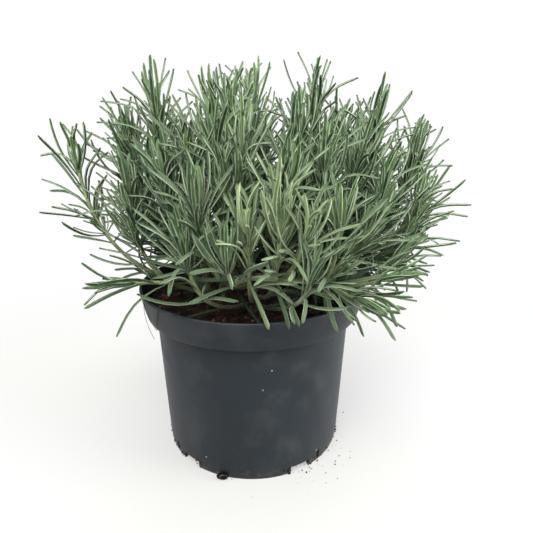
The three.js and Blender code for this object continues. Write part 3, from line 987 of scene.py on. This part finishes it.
def makeLeafBlank():
    bm = bmesh.new()
    bmesh.ops.create_grid(bm, x_segments=blade["across"], y_segments=blade["along"], size=0.5)
    for vert in bm.verts:
        u = 2 * vert.co.x
        v = 1 - (1 - (vert.co.y + 0.5)) ** 1.5
        widening = wideningAt(v)
        rounding = math.sqrt(max(0, 1 - max(0, (v - blade["tipFrom"]) / blade["tipLength"]) ** 2))
        half = 0.5 * blade["width"] * widening * rounding
        rolled = blade["roll"] * abs(u) ** 2.5 * widening * rounding
        vert.co.x = half * (u - 0.16 * u * u * u)
        vert.co.y = v * leaf["length"]
        vert.co.z = blade["furrow"] * (1 - math.cos(math.pi * min(1, 1.6 * abs(u)))) - rolled
    bmesh.ops.recalc_face_normals(bm, faces=bm.faces[:])
    if sum(face.normal.z for face in bm.faces) < 0:
        bmesh.ops.reverse_faces(bm, faces=bm.faces[:])
    bmesh.ops.solidify(bm, geom=bm.faces[:], thickness=blade["thickness"])
    bmesh.ops.recalc_face_normals(bm, faces=bm.faces[:])
    return newMesh("leafBlank", bm)


# Each corner of the blank knows its share across and along the leaf, and whether it is on the underside.
leafBlank = makeLeafBlank()
blankPoints = pointsOf(leafBlank)
blankPoints[:, 1] /= leaf["length"]
blankCorners = []
for polygon in leafBlank.polygons:
    under = 1.0 if polygon.normal.z < -0.2 else 0.0
    for corner in polygon.loop_indices:
        x, v, _ = blankPoints[leafBlank.loops[corner].vertex_index]
        half = 0.5 * blade["width"] * wideningAt(v)
        blankCorners.append((clamp(abs(x) / (0.84 * half)), clamp(v), under, 1))
blankCorners = np.array(blankCorners)
print("leaf blank", len(leafBlank.polygons), "faces")


# Lays the blank along a leaf's line: it sways sideways, arches up and twists towards its tip.
def placeLeaf(entry, twist, sway, arch):
    root, elbow, tip = entry["line"]
    run = unit(tip - root)
    side = np.cross(run, entry["along"])
    side = unit(side) if np.linalg.norm(side) > 0.02 else unit(np.cross(run, [0.3, 0.5, 0.1]))
    v = np.clip(blankPoints[:, 1:2], -0.01, 1.01)
    length = np.linalg.norm(elbow - root) + np.linalg.norm(tip - elbow)
    centre = curvePoint(entry["line"], v[:, 0])
    forward = (1 - v) * (elbow - root) + v * (tip - elbow)
    bend = side * sway + unit(np.cross(side, run)) * arch
    centre = centre + bend * (length * np.sin(np.pi * v))
    forward = forward * (2 / length) + bend * (np.pi * np.cos(np.pi * v))
    forward /= np.linalg.norm(forward, axis=1, keepdims=True)
    upper = np.cross(side, forward)
    angle = twist * v
    across = np.cos(angle) * side + np.sin(angle) * upper
    above = -np.sin(angle) * side + np.cos(angle) * upper
    size = entry["size"]
    return centre + across * (blankPoints[:, 0:1] * size) + above * (blankPoints[:, 2:3] * size)


# How deep in the bush a leaf grows, from 0 at its outside to 1: the leaves in there are old, and their colour is
# darkened towards near black as painted shade, partly also the darker colour of older leaves.
bush = {"centre": (0, 2, soilTop), "radii": (100, 90, 124), "from": 0.96, "to": 0.58, "freshStays": 0.8}


def depthOf(entry):
    offset = (curvePoint(entry["line"], 0.6) - np.array(bush["centre"])) / np.array(bush["radii"])
    return clamp((bush["from"] - float(np.linalg.norm(offset))) / (bush["from"] - bush["to"]))


# The leaves of a shoot are one mesh: copies of the blank, each laid along its own line.
def makeLeaves(name, index):
    entries = foliage[name]
    draw = seeded(2000 + index)
    shootTone = draw()
    mesh = manyOf(name + "_leaves", leafBlank, len(entries))
    points, tones, places = [], [], []
    for entry in entries:
        twist, sway = blade["twist"] * (draw() - 0.5), blade["sway"] * (draw() - 0.5)
        points.append(placeLeaf(entry, twist, sway, blade["arch"] * (draw() - 0.35)))
        greyness, chance = draw(), draw()
        grey = clamp(0.5 * shootTone + 0.6 * greyness - 0.05)
        tone = (grey, entry["age"], entry.get("deep", 0.97 * chance), entry["fresh"])
        tones.append(np.tile(tone, (len(blankCorners), 1)))
        # The fourth value of leafPlace is the share of painted shade deep in the bush, less on fresh leaves.
        places.append(blankCorners * (1, 1, 1, depthOf(entry) * (1 - bush["freshStays"] * entry["fresh"])))
    setPoints(mesh, points)
    addCornerColours(mesh, "leafPlace", np.concatenate(places))
    addCornerColours(mesh, "leafTone", np.concatenate(tones))
    return addPiece("leaves_" + name, mesh, leafMaterial)


# The stems: a rounded square rod with a swelling at each pair of leaves.
rod = {
    "sides": 8, "rings": 30, "swelling": 0.3, "swellingLength": 1.1,
    "shadeTop": 20, "shadeFade": 16, "shade": 0.85, "freshShade": 0.3,
}


# A rod of radius 1 and length 1, cut into rings along its length, to be bent into shape.
def makeRod(name, sides, rings):
    bm = bmesh.new()
    bmesh.ops.create_cone(bm, cap_ends=True, segments=sides, radius1=1, radius2=1, depth=1)
    upright = [edge for edge in bm.edges if abs(edge.verts[0].co.z - edge.verts[1].co.z) > 0.5]
    bmesh.ops.subdivide_edges(bm, edges=upright, cuts=rings)
    return newMesh(name, bm)


def makeStem(name):
    joint, curve = stems[name]
    mesh = makeRod(name + "_stem", rod["sides"], rod["rings"])
    lengths = curveLengths(curve)
    full = lengths[-1]
    nodesAt = [full - leaf["topPair"] - leaf["crowding"] * i - leaf["stretch"] * i * i for i in range(5)]
    nodesAt += [full - below for below in fine["pairsBelow"]]
    shadeMost = rod["freshShade"] if name in fresh and fresh[name][0] > 0.5 else rod["shade"]
    tints = {}
    for vert in mesh.vertices:
        x, y, z = vert.co
        share = clamp(z + 0.5)
        t = curveShare(curve, share)
        along = curveDirection(curve, t)
        side = np.cross([1.0, 0, 0], along)
        side = unit(side if np.linalg.norm(side) > 0.2 else np.cross([0, 1.0, 0], along))
        face = np.cross(side, along)
        centre = curvePoint(curve, t)
        if share < 0.001:
            centre = blend(centre, joint, 0.8)
        turn = math.atan2(y, x)
        corner = abs(math.sin(2 * turn + 0.4))
        swell = max([math.exp(-(((share * full - at) / rod["swellingLength"]) ** 2)) for at in nodesAt])
        radius = blend(stem["footRadius"], stem["tipRadius"], share)
        radius = radius * (0.92 + 0.14 * corner + rod["swelling"] * swell)
        radius *= 0.55 if share > 0.999 else 1
        # Stems darken towards the soil: painted shade, less on fresh shoots.
        shade = clamp((soilTop + rod["shadeTop"] - centre[2]) / rod["shadeFade"]) * shadeMost
        tints[vert.index] = (share, corner * 0.6 + 0.4 * swell, shade, 1)
        vert.co = Vector((centre + swung(side, face, turn) * radius) * mm)
    addCornerColours(mesh, "stemPlace", [tints[loop.vertex_index] for loop in mesh.loops])
    faceOut(mesh)
    return addPiece("stem_" + name, mesh, stemMaterial)


for i, shoot in enumerate(shoots):
    name = shoot[0]
    leavesPiece = makeLeaves(name, i + 1)
    stemPiece = makeStem(name)
    for piece in (leavesPiece, stemPiece):
        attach(piece, "root")
    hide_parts("shoot_" + name)
print("shoots made")

# The woody stubs, which lean a little, with knots, ridges and a wider foot sunk in the soil.
woody = {
    "sides": 20, "rings": 26, "knots": 0.22, "ridges": 0.12, "sunk": 3, "lean": 0.5,
    "footShare": 0.18, "footFlare": 0.35,
}


def makeStub(entry, index):
    mesh = makeRod(entry["name"] + "_wood", woody["sides"], woody["rings"])
    low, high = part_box(entry["name"])
    for vert in mesh.vertices:
        x, y, z = vert.co
        share = z + 0.5
        height = blend(low[2] / mm - woody["sunk"], high[2] / mm, share)
        radius = blend(stub["footRadius"], stub["topRadius"], clamp(share))
        lump = noise.noise(Vector((2 * x, 2 * y, 5 * share + 7 * index)))
        ridge = noise.noise(Vector((5 * x, 5 * y, 2 * share + 3 * index)))
        flare = woody["footFlare"] * max(0, woody["footShare"] - share) / woody["footShare"]
        radius *= 1 + woody["knots"] * lump + woody["ridges"] * ridge + flare
        radius *= 0.7 if share > 0.999 else 1
        centreX = entry["foot"][0] + woody["lean"] * math.sin(4 * share + index)
        centreY = entry["foot"][1] + woody["lean"] * math.cos(3 * share + index)
        vert.co = Vector((centreX + x * radius, centreY + y * radius, height)) * mm
    piece = addPiece("wood_" + entry["name"], mesh, barkMaterial)
    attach(piece, "root")
    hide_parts(entry["name"])


for i, entry in enumerate(stubs):
    makeStub(entry, i)
print("stubs made")


# The pot: a spun profile with rounded edges, its openings cut.
def spinProfile(profile, steps, mergeBelow=0.01):
    bm = bmesh.new()
    verts = [bm.verts.new((radius, 0, height)) for radius, height in profile]
    edges = [bm.edges.new(pair) for pair in zip(verts[:-1], verts[1:])]
    if profile[0][0] > 0:
        edges.append(bm.edges.new((verts[-1], verts[0])))
    bmesh.ops.spin(bm, geom=verts + edges, cent=(0, 0, 0), axis=(0, 0, 1), angle=2 * math.pi, steps=steps,
                   use_merge=True)
    bmesh.ops.remove_doubles(bm, verts=bm.verts[:], dist=mergeBelow)
    bmesh.ops.recalc_face_normals(bm, faces=bm.faces[:])
    return bm


# Rounds the sharp edges that run round the pot at these heights.
def roundRings(bm, heights, offset, segments):
    rings = [
        edge for edge in bm.edges
        if abs(edge.verts[0].co.z - edge.verts[1].co.z) < 1e-4
        and abs(edge.verts[0].co.xy.length - edge.verts[1].co.xy.length) < 1e-3
        and len(edge.link_faces) == 2 and edge.calc_face_angle(0) > 0.15
        and any(abs(edge.verts[0].co.z - height) < 0.02 for height in heights)
    ]
    bmesh.ops.bevel(bm, geom=rings, affect="EDGES", offset=offset, offset_type="OFFSET", segments=segments,
                    profile=0.5, material=-1, clamp_overlap=True)


# A box to cut with, out from the axis in the direction of the turn.
def boxAt(bm, size, turn, out, height):
    made = bmesh.ops.create_cube(bm, size=1)["verts"]
    bmesh.ops.scale(bm, vec=size, verts=made)
    bmesh.ops.translate(bm, vec=(out, 0, height), verts=made)
    bmesh.ops.rotate(bm, cent=(0, 0, 0), matrix=Matrix.Rotation(turn, 3, "Z"), verts=made)


def makePot():
    wall = pot["wall"]
    inner = [
        (lipBottomRadius - wall, lipBottom + wall),
        (wallTopRadius - wall, wallTop + wall),
        (wallRadius(floorTop) - wall, floorTop),
        (0, floorTop),
    ]
    bulgeHeight = lipBottom + pot["bulgeHeight"]
    beadFoot = pot["height"] - pot["beadFoot"]
    profile = [
        (0, pot["footHeight"]),
        (pot["footRadius"] - pot["footWidth"], pot["footHeight"]),
        (pot["footRadius"] - pot["footWidth"], 0),
        (pot["footRadius"] - 0.4, 0),
        (wallRadius(6) - 0.05, 6),
        (wallRadius(40), 40),
        (wallTopRadius, wallTop),
        (lipBottomRadius - 0.2, lipBottom),
        (lipRadius(bulgeHeight) + pot["bulge"], bulgeHeight),
        (lipRadius(beadFoot) + 0.15, beadFoot),
        (pot["rimRadius"] - 0.02, pot["height"] - pot["beadTop"]),
        (pot["rimRadius"] - 0.1, pot["height"]),
        (pot["rimRadius"] - wall - 0.2, pot["height"]),
    ] + inner
    bm = spinProfile(profile, pot["steps"])
    roundRings(bm, [pot["height"]], pot["edgeRound"], 3)
    roundRings(bm, [lipBottom], pot["lipRound"], 4)
    roundRings(bm, [0], pot["footRound"], 2)
    shell = addPiece("pot_shell", newMesh("potShell", bm), potMaterial)

    cutter = bmesh.new()
    turns = [(notch["firstTurn"] + i * 360 / notch["count"]) * degree for i in range(notch["count"])]
    deep = 4 * pot["footWidth"]
    tall = slot["top"] - slot["bottom"]
    middle = (slot["top"] + slot["bottom"]) / 2
    for i, turn in enumerate(turns):
        boxAt(cutter, (deep, notch["width"], 2 * notch["height"]), turn, pot["footRadius"], 0)
        away = np.sign(notch["count"] - 1 - 2 * i)  # the slots stand on the two sides of the middle notch
        if away:
            beside = turn + away * slot["besideNotch"] * degree
            boxAt(cutter, (deep, slot["width"], tall), beside, pot["footRadius"], middle)
    holes = [(np.zeros(3), drain["centreRadius"])]
    holes += [(polar(drain["ringRadius"], turn, 0), drain["radius"]) for turn in turns]
    for centre, radius in holes:
        made = bmesh.ops.create_cone(
            cutter, cap_ends=True, segments=32, radius1=radius, radius2=radius, depth=20)["verts"]
        bmesh.ops.translate(cutter, vec=centre, verts=made)
    bmesh.ops.recalc_face_normals(cutter, faces=cutter.faces[:])
    cutterPiece = bpy.data.objects.new("pot_cutter", newMesh("potCutter", cutter))
    bpy.context.scene.collection.objects.link(cutterPiece)
    cut = shell.modifiers.new("openings", "BOOLEAN")
    cut.operation, cut.solver, cut.object = "DIFFERENCE", "EXACT", cutterPiece
    finished = bpy.data.meshes.new_from_object(shell.evaluated_get(bpy.context.evaluated_depsgraph_get()))
    for piece in (shell, cutterPiece):
        bpy.data.objects.remove(piece)
    bm = bmesh.new()
    bm.from_mesh(finished)
    bmesh.ops.dissolve_degenerate(bm, dist=0.01, edges=bm.edges[:])
    bmesh.ops.scale(bm, vec=(mm, mm, mm), verts=bm.verts[:])
    mesh = newMesh("potMesh", bm)
    mesh.materials.clear()
    piece = addPiece("pot", mesh, potMaterial, sharpAngle=30)
    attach(piece, "root")
    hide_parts("nursery_pot")


makePot()
print("pot made")

# The soil: a heap with lumps and grit, then its crumbs.
heap = {"steps": 160, "rings": 34, "lump": 1.1, "lumpSize": 5.5, "grit": 0.45, "gritSize": 1.7}


def soilRelief(x, y):
    broad = noise.noise(Vector((x / heap["lumpSize"], y / heap["lumpSize"], 0.3)))
    close = noise.noise(Vector((x / heap["gritSize"], y / heap["gritSize"], 5.1)))
    return heap["lump"] * broad + heap["grit"] * close


# The height of the soil's surface, with its sag towards the pot and its relief.
def surfaceAt(x, y):
    out = math.hypot(x, y)
    dome = soil["domeShare"] * pot["rimRadius"]
    edge = clamp((out - dome) / (lipBottomRadius - dome))
    return soilHeight(out) - soil["edgeDip"] * edge + soilRelief(x, y)


def makeSoil():
    inside = pot["wall"] + clearance
    edge = lipBottomRadius - inside
    profile = [(0, floorTop + clearance), (wallRadius(floorTop) - inside, floorTop + clearance)]
    profile += [(wallTopRadius - inside, wallTop + pot["wall"]), (edge, lipBottom + inside)]
    profile += [(edge * (1 - i / heap["rings"]), soilTop) for i in range(heap["rings"])] + [(0, soilTop)]
    bm = spinProfile(profile, heap["steps"])
    for vert in bm.verts:
        if vert.co.z > soilTop - 0.01:
            vert.co.z = surfaceAt(vert.co.x, vert.co.y)
    bmesh.ops.scale(bm, vec=(mm, mm, mm), verts=bm.verts[:])
    piece = addPiece("soil_heap", newMesh("soilMesh", bm), soilMaterial, sharpAngle=70)
    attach(piece, "root")
    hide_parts("soil")


makeSoil()

crumbs = {
    "tones": (
        (0.010, 0.007, 0.005), (0.020, 0.012, 0.008), (0.05, 0.024, 0.012), (0.14, 0.045, 0.018), (0.09, 0.05, 0.028)),
    "count": 1500,
    "size": (0.5, 2.6),
    "reach": 63.5,
    "edge": 64.5,
    "footCount": 210,
    "footSize": (0.35, 1.3),
    "footTop": 5.5,
    "floorCount": 46,
    "floorSize": (0.3, 1.1),
    "floorFrom": 57.5,
    "floorReach": 20,
    "floorTurns": (-68, -28),
    "strayTurns": (-110, 10),
    "rough": 0.45,
}


# Rough clods in one mesh, one at each spot, which is a centre and a size.
def makeClods(name, spots, material, seed):
    draw = seeded(seed)
    blank = bmesh.new()
    bmesh.ops.create_icosphere(blank, subdivisions=1, radius=0.5)
    blankMesh = newMesh(name + "Blank", blank)
    shape = pointsOf(blankMesh)
    mesh = manyOf(name + "Mesh", blankMesh, len(spots))
    points, tones = [], []
    for centre, size in spots:
        squash = np.array([0.7 + 0.7 * draw(), 0.7 + 0.7 * draw(), 0.5 + 0.5 * draw()]) * size
        turn = draw() * 2 * math.pi
        c, s = math.cos(turn), math.sin(turn)
        rough = 1 + crumbs["rough"] * (np.array([draw() for _ in shape]) - 0.5)
        local = shape * squash * rough[:, None]
        points.append(local @ np.array([[c, s, 0], [-s, c, 0], [0, 0, 1]]) + centre)
        tone = crumbs["tones"][min(4, int(5 * draw() ** 1.7))]
        tones.append(np.tile((*tone, 1), (len(blankMesh.loops), 1)))
    setPoints(mesh, points)
    addCornerColours(mesh, "crumbTone", np.concatenate(tones))
    bpy.data.meshes.remove(blankMesh)
    return addPiece(name, mesh, material, smooth=False)


def scatterCrumbs():
    draw = seeded(31)
    spots = []
    while len(spots) < crumbs["count"]:
        out = crumbs["reach"] * math.sqrt(draw())
        turn = draw() * 2 * math.pi
        size = blend(*crumbs["size"], draw() ** 2.4)
        if out + size > crumbs["edge"]:
            continue
        x, y, _ = polar(out, turn, 0)
        spots.append((polar(out, turn, surfaceAt(x, y) + 0.15 * size), size))
    piece = makeClods("soil_crumbs", spots, crumbMaterial, 32)
    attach(piece, "root")

    # Crumbs that cling round the foot, thickest in the notches and slots and on both sides.
    spots = []
    while len(spots) < crumbs["footCount"]:
        turn = draw() * 360
        fromNotch = min(
            abs((turn - notch["firstTurn"] - i * 360 / notch["count"] + 180) % 360 - 180)
            for i in range(notch["count"]))
        sideways = abs(math.cos(turn * degree))
        if draw() > 0.22 * sideways ** 8 + 0.75 * math.exp(-(((fromNotch - 6.5) / 2.6) ** 2)):
            continue
        height = crumbs["footTop"] * draw() ** 2 + 0.3
        size = blend(*crumbs["footSize"], draw() ** 2)
        out = wallRadius(height) + 0.12 * size
        spots.append((polar(out, turn * degree, max(height, 0.5 * size)), size))
    piece = makeClods("foot_crumbs", spots, crumbMaterial, 33)
    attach(piece, "root")

    # A few that have dropped on the floor.
    spots = []
    while len(spots) < crumbs["floorCount"]:
        turns = crumbs["floorTurns"] if draw() < 0.75 else crumbs["strayTurns"]
        turn = blend(*turns, draw()) * degree
        out = crumbs["floorFrom"] + crumbs["floorReach"] * draw() ** 2.5
        size = blend(*crumbs["floorSize"], draw() ** 2)
        spots.append((polar(out, turn, 0.5 * size), size))
    makeClods("floor_crumbs", spots, crumbMaterial, 34)


scatterCrumbs()

# A wet lump of compost at the foot.
wetLump = {"size": (3.6, 1.9, 1.9), "place": (-18.6, -55.2, 1.9), "lump": 0.25, "lumpScale": 1.7}


def makeWetLump():
    bm = bmesh.new()
    bmesh.ops.create_icosphere(bm, subdivisions=3, radius=1)
    for vert in bm.verts:
        vert.co *= 1 + wetLump["lump"] * noise.noise(vert.co * wetLump["lumpScale"])
    bmesh.ops.scale(bm, vec=wetLump["size"], verts=bm.verts[:])
    bmesh.ops.translate(bm, vec=wetLump["place"], verts=bm.verts[:])
    bmesh.ops.scale(bm, vec=(mm, mm, mm), verts=bm.verts[:])
    piece = addPiece("wet_lump", newMesh("wetLumpMesh", bm), wetMaterial)
    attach(piece, "root")


makeWetLump()
print("soil made")

# Fine root fibres over the lip and on the soil. Each lip line is three points: the turn, the height and how proud.
fibre = {
    "soilRadius": 0.11,
    "soilCount": 46,
    "soilTone": (0.10, 0.055, 0.028),
    "soilReach": 60,
    "soilEdge": 61,
    "lipRadius": 0.13,
    "lipTone": (0.012, 0.009, 0.007),
    "lipLines": (
        ((-143, lipBottom + 1, 0.15), (-138.5, 99.5, 0.5), (-134, 106.6, 0.15)),
        ((-134, 106.6, 0.15), (-132.5, 108.3, 0), (-131, 106.9, -3.5)),
        ((-150, 104, 0.15), (-152, 96, 1.5), (-151, 84, -2)),
        ((-153, 101, 0.15), (-156, 90, 2.5), (-153, 78, 0.5)),
    ),
}


def makeFibres(name, lines, radius, tone):
    blankMesh = makeRod(name + "Blank", 5, 9)
    shape = pointsOf(blankMesh)
    mesh = manyOf(name + "Mesh", blankMesh, len(lines))
    points = []
    for line in lines:
        centre = curvePoint(line, np.clip(shape[:, 2] + 0.5, 0, 1))
        forward = unit(line[2] - line[0])
        side = unit(np.cross(forward, [0.31, 0.17, 0.93]))
        face = np.cross(forward, side)
        points.append(centre + (side * shape[:, 0:1] + face * shape[:, 1:2]) * radius)
    setPoints(mesh, points)
    addCornerColours(mesh, "crumbTone", np.tile((*tone, 1), (len(mesh.loops), 1)))
    bpy.data.meshes.remove(blankMesh)
    faceOut(mesh)
    piece = addPiece(name, mesh, crumbMaterial)
    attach(piece, "root")


def lipPoint(turn, height, proud):
    return polar(lipRadius(height) + 0.35 + proud, turn * degree, height)


def scatterFibres():
    draw = seeded(77)
    lines = []
    for _ in range(fibre["soilCount"]):
        turn, out = draw() * 2 * math.pi, fibre["soilReach"] * math.sqrt(draw())
        a = polar(out, turn, 0)
        heading = draw() * 2 * math.pi
        reach = 3 + 7 * draw()
        c = a + reach * polar(1, heading, 0)
        if math.hypot(c[0], c[1]) > fibre["soilEdge"]:
            continue
        a[2], c[2] = surfaceAt(a[0], a[1]) + 0.5, surfaceAt(c[0], c[1]) + 0.5
        b = (a + c) / 2 + np.array([draw() - 0.5, draw() - 0.5, 0.5 + draw()]) * 3
        lines.append((a, b, c))
    makeFibres("soil_fibres", lines, fibre["soilRadius"], fibre["soilTone"])
    lines = [[lipPoint(*point) for point in line] for line in fibre["lipLines"]]
    makeFibres("lip_fibres", lines, fibre["lipRadius"], fibre["lipTone"])


scatterFibres()
print("fibres made")

# Floor, light and camera. The floor and the sky light the plant less than they show to the camera.
studio = {
    "floorHalf": 4.0, "floorWhite": 0.21, "floorGlow": 0.4, "sweepFrom": 0.12, "sweepTo": 0.42, "floorLights": 0.55,
    "horizon": 0.42, "overhead": 0.2, "fadeFrom": 0.1, "fadeTo": 0.36,
}
lights = {
    "topLight": {"power": 30.0, "size": 1.4, "place": (-0.05, -0.1, 1.3), "target": (0, 0, 0.14)},
    "keyLight": {"power": 30.0, "size": 1.0, "place": (-0.3, -0.85, 0.95), "target": (0, 0, 0.14)},
    "backLight": {"power": 5.0, "size": 1.0, "place": (0.2, 0.9, 0.8), "target": (0, 0, 0.14)},
    "rightLight": {"power": 12.0, "size": 0.5, "place": (0.75, -0.2, 0.32), "target": (0, 0, 0.1)},
}


# The floor is pale near the pot and runs out into an evenly lit white sweep.
def makeFloor():
    bm = bmesh.new()
    bmesh.ops.create_grid(bm, x_segments=2, y_segments=2, size=studio["floorHalf"])
    material, tree, shader = startMaterial("paleFloor")
    _, patches = useGrain(tree, (-2, 0), 60.0, 4.0)
    white = studio["floorWhite"]
    vector = objectPlace(tree, (-4, 2))
    reach = addNode(tree, "ShaderNodeVectorMath", (-3, 2), {0: vector}, operation="LENGTH")
    away = mapRange(tree, (-2, 2), reach.outputs["Value"], studio["sweepFrom"], studio["sweepTo"])
    base = layered(tree, (white, white, white), [
        (patches, (white, white * 0.99, white * 0.93)), (away, (0.0, 0.0, 0.0))])
    tree.links.new(base, shader.inputs["Base Color"])
    glow = calculate(tree, (-1, 2), "MULTIPLY_ADD", away, 1 - studio["floorGlow"], studio["floorGlow"])
    seen = addNode(tree, "ShaderNodeLightPath", (-1, 4))
    share = calculate(tree, (0, 4), "MAXIMUM", seen.outputs["Is Camera Ray"], studio["floorLights"])
    tree.links.new(scaled(tree, (1, 3), glow, share), shader.inputs["Emission Strength"])
    shader.inputs["Emission Color"].default_value = (1, 1, 1, 1)
    shader.inputs["Roughness"].default_value = 0.9
    shader.inputs["Specular IOR Level"].default_value = 0.0
    addPiece("floor", newMesh("floorMesh", bm), material, smooth=False)


def makeWorld():
    world = bpy.data.worlds.new("studioWorld")
    bpy.context.scene.world = world
    world.use_nodes = True
    tree = world.node_tree
    background = tree.nodes["Background"]
    place = addNode(tree, "ShaderNodeTexCoord", (-4, 0))
    heights = addNode(tree, "ShaderNodeSeparateXYZ", (-3, 0), {"Vector": place.outputs["Generated"]})
    lit = mapRange(tree, (-2, 0), heights.outputs["Z"], studio["fadeFrom"], studio["fadeTo"],
                   studio["horizon"], studio["overhead"])
    seen = addNode(tree, "ShaderNodeLightPath", (-2, 2))
    strength = calculate(tree, (-1, 0), "MAXIMUM", lit, seen.outputs["Is Camera Ray"])
    tree.links.new(strength, background.inputs["Strength"])
    background.inputs["Color"].default_value = (1, 1, 1, 1)


def addLight(name, power, size, place, target):
    light = bpy.data.lights.new(name, "AREA")
    light.energy, light.shape, light.size, light.size_y = power, "RECTANGLE", size, size
    lamp = bpy.data.objects.new(name, light)
    lamp.location = place
    lamp.rotation_euler = (Vector(target) - Vector(place)).to_track_quat("-Z", "Y").to_euler()
    bpy.context.scene.collection.objects.link(lamp)


makeFloor()
makeWorld()
for name, light in lights.items():
    addLight(name, **light)

view = {"lens": 29.92, "distance": 0.268, "height": 0.195, "pitch": 17.0, "yaw": -1.87}
camera = bpy.data.objects.new("camera", bpy.data.cameras.new("camera"))
camera.data.sensor_width = 36
camera.data.lens = view["lens"]
camera.data.clip_start = 0.01
camera.location = (0, -view["distance"], view["height"])
camera.rotation_euler = ((90 - view["pitch"]) * degree, 0, view["yaw"] * degree)
bpy.context.scene.collection.objects.link(camera)
bpy.context.scene.camera = camera
bpy.context.scene.view_settings.view_transform = "Standard"
bpy.context.scene.view_settings.look = "None"
print("studio made")
